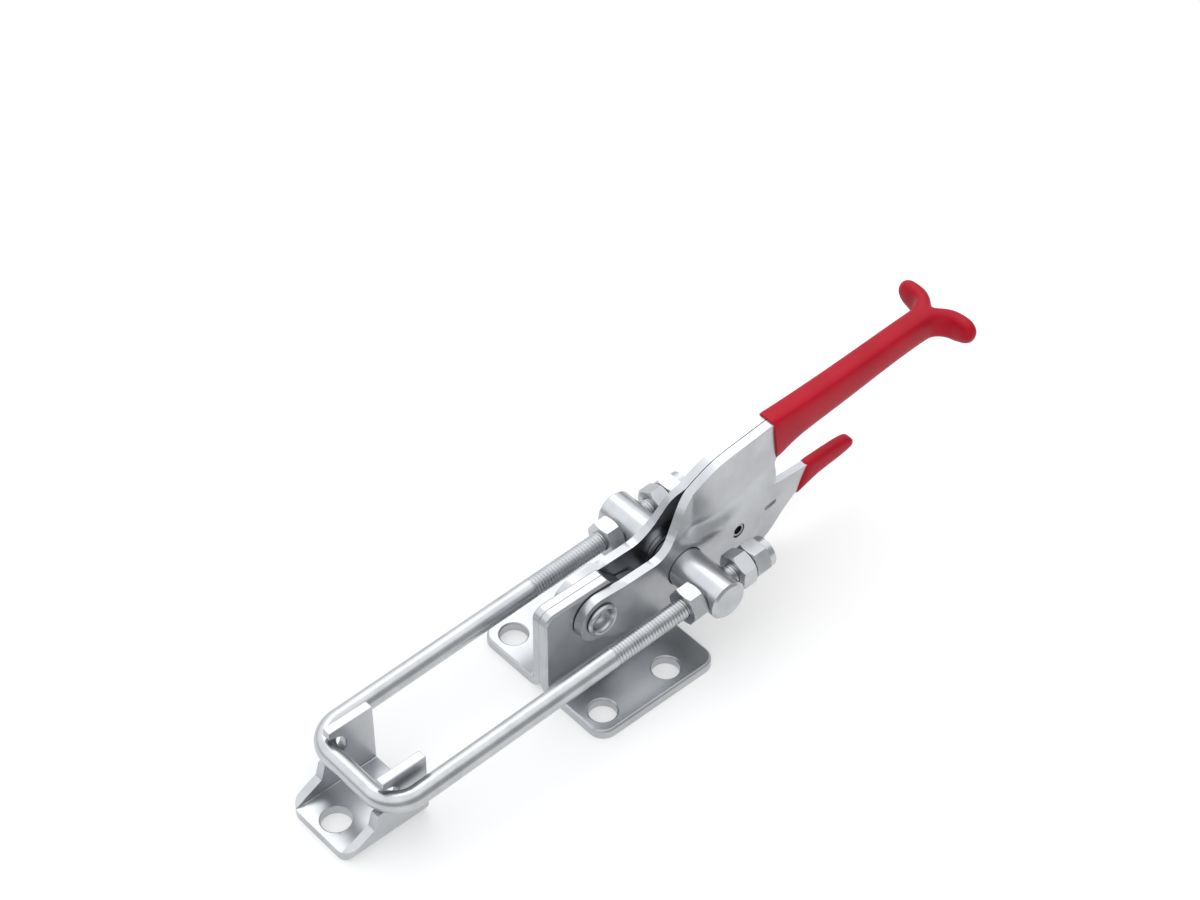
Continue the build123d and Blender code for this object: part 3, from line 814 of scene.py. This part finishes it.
def makeGrip():
    half = grip["half"]
    piece = drawGrip(grip, 0, half)
    bendX, bendY = grip["bendCentre"]
    steps = len(grip["bendOuter"])
    quarterBend(steps, (bendX, bendY, 0))
    # the side from the middle plane is now the outside of the bend, with its own radius
    for step, outer in enumerate(grip["bendOuter"], 1):
        angle = math.pi / 2 * step / steps
        turnedTo = Vector((bendX + bendY * math.sin(angle), bendY - bendY * math.cos(angle))) * mm
        pickVerts(piece, lambda p: (p.xy - turnedTo).length < 5 * touch)
        bpy.ops.transform.resize(value=(outer / bendY, outer / bendY, 1),
                                 center_override=inMetres((bendX, bendY, 0)))
    pickFaces(piece, lambda f: f.normal.y > facing and f.center.y > bendY * mm - 10 * touch)
    low, high = grip["sections"][-1][1:]
    y, thick = bendY, grip["bendOuter"][-1] - (bendY - half)
    middleX = bendX + bendY - half + thick / 2
    for nextY, nextLow, nextHigh, nextThick in grip["lobe"]:
        middle = (nextLow + nextHigh) / 2
        taller = (nextHigh - nextLow) / (high - low)
        drawOut((0, nextY - y, middle - (low + high) / 2), (nextThick / thick, 1, taller),
                (middleX, nextY, middle))
        y, low, high, thick = nextY, nextLow, nextHigh, nextThick
    # the faces on the middle plane go before the other half is added
    pickFaces(piece, lambda f: abs(f.center.y) < 2 * touch and abs(f.normal.y) > facing)
    bpy.ops.mesh.delete(type="ONLY_FACE")
    bpy.ops.object.mode_set(mode="OBJECT")
    mirrorOn(piece, (False, True, False), grip["mergeWithin"])
    bpy.ops.object.mode_set(mode="EDIT")
    tidyShell()
    roundAndSmooth(piece, grip, lambda p: abs(p.y) > grip["tipFrom"] * mm)
    finishPiece(piece, "t_grip_dipped", redVinyl, ["handle_grip"])


makeGrip()


# grip of the release lever: one straight dip with a narrowed end

leverGrip = {
    "half": 2.05, "round": 0.85, "tipFrom": 101.6,
    "front": [(82.3, 22.8), (77.9, 12.5)],
    "sections": [(86.0, 15.7, 22.85), (91.0, 16.35, 22.85), (96.6, 16.9, 22.8),
                 (100.0, 17.8, 22.2), (101.7, 18.9, 20.9)],
}


def makeLeverGrip():
    piece = drawGrip(leverGrip, -leverGrip["half"], leverGrip["half"])
    tidyShell()
    roundAndSmooth(piece, leverGrip, lambda p: p.x > leverGrip["tipFrom"] * mm)
    finishPiece(piece, "lever_grip_dipped", redVinyl, ["lever_grip"])


makeLeverGrip()
print("grips made")


# floor and light

studio = {
    "floorSize": 8, "floor": 0.52, "floorGlow": 0.44,
    # strength of the walls and of the bright ceiling, where the ceiling is, and where it fades
    "walls": 0.5, "overhead": 1.42, "overheadFrom": (-0.05, 0.35, 0.935), "fade": (0.34, 0.64),
    "skyColour": (0.97, 0.985, 1, 1), "white": (1, 1, 1, 1),
}


def makeFloor():
    bpy.ops.mesh.primitive_plane_add(size=studio["floorSize"], location=(0, 0, -0.1 * mm))
    floor = bpy.context.active_object
    floor.name = "floor"
    material, tree = newMaterial("paleFloor")
    # the white that camera, metal and glass see is added to the plain paint that takes the shadow
    path = addNode(tree, "ShaderNodeLightPath")
    seen = addNode(tree, "ShaderNodeMath", {"operation": "MAXIMUM"},
                   {0: path.outputs["Is Camera Ray"], 1: path.outputs["Is Glossy Ray"]})
    seenAll = addNode(tree, "ShaderNodeMath", {"operation": "MAXIMUM"},
                      {0: seen.outputs["Value"], 1: path.outputs["Is Transmission Ray"]})
    glowing = addNode(tree, "ShaderNodeMath", {"operation": "MULTIPLY", 1: studio["floorGlow"]},
                      {0: seenAll.outputs["Value"]})
    paint = addNode(tree, "ShaderNodeBsdfDiffuse", {"Color": (studio["floor"],) * 3 + (1,)})
    glow = addNode(tree, "ShaderNodeEmission", links={"Strength": glowing.outputs["Value"]})
    both = addNode(tree, "ShaderNodeAddShader",
                   links={0: paint.outputs["BSDF"], 1: glow.outputs["Emission"]})
    addNode(tree, "ShaderNodeOutputMaterial", links={"Surface": both.outputs["Shader"]})
    floor.data.materials.append(material)


def makeWorld():
    world = bpy.data.worlds.new("studio")
    scene.world = world
    world.use_nodes = True
    tree = world.node_tree
    tree.nodes.clear()
    path = addNode(tree, "ShaderNodeLightPath")
    # a broad bright ceiling, towards the back, that fades to the plain walls
    way = addNode(tree, "ShaderNodeTexCoord")
    towards = addNode(tree, "ShaderNodeVectorMath",
                      {"operation": "DOT_PRODUCT", 1: studio["overheadFrom"]},
                      {0: way.outputs["Generated"]})
    fadeFrom, fadeTo = studio["fade"]
    level = addNode(tree, "ShaderNodeMapRange",
                    {"interpolation_type": "SMOOTHSTEP", "From Min": fadeFrom, "From Max": fadeTo,
                     "To Min": studio["walls"], "To Max": studio["overhead"]},
                    {"Value": towards.outputs["Value"]})
    sky = addNode(tree, "ShaderNodeBackground", {"Color": studio["skyColour"]},
                  {"Strength": level.outputs["Result"]})
    seen = addNode(tree, "ShaderNodeBackground", {"Color": studio["white"], "Strength": 1.0})
    mix = addNode(tree, "ShaderNodeMixShader",
                  links={0: path.outputs["Is Camera Ray"], 1: sky.outputs["Background"],
                         2: seen.outputs["Background"]})
    addNode(tree, "ShaderNodeOutputWorld", links={"Surface": mix.outputs["Shader"]})


# place, aim and size in m, power in W, and whether metal shows a glint of it

lamps = {
    "keyLight": {"place": (0.3, 0.6, 1.0), "aim": (0, 0, 0.02), "size": (0.5, 0.5),
                 "power": 1.2, "glint": True},
    "fillLight": {"place": (-0.6, -1.0, 0.35), "aim": (0, 0, 0.03), "size": (0.9, 0.5),
                  "power": 4.5, "glint": False},
}


def addLamp(name, values):
    bpy.ops.object.light_add(type="AREA", location=values["place"])
    lamp = bpy.context.active_object
    lamp.name = name
    lamp.data.shape = "RECTANGLE"
    lamp.data.size, lamp.data.size_y = values["size"]
    lamp.data.energy = values["power"]
    towards = Vector(values["aim"]) - Vector(values["place"])
    lamp.rotation_euler = towards.to_track_quat("-Z", "Y").to_euler()
    lamp.visible_glossy = values["glint"]


makeFloor()
makeWorld()
for name, values in lamps.items():
    addLamp(name, values)


# camera, at the photograph's own angle

camera = {
    "place": (-0.344620, -0.391937, 0.593635), "turn": (45.5335, 0.0, -41.6519),
    "lens": 84.5054, "sensor": 36, "clipFrom": 0.01,
}
bpy.ops.object.camera_add(location=camera["place"],
                          rotation=[math.radians(degrees) for degrees in camera["turn"]])
eye = bpy.context.active_object
eye.name = "camera"
eye.data.sensor_width = camera["sensor"]
eye.data.lens = camera["lens"]
eye.data.clip_start = camera["clipFrom"]
scene.camera = eye
scene.view_settings.view_transform = "Standard"
print("floor, light and camera set")
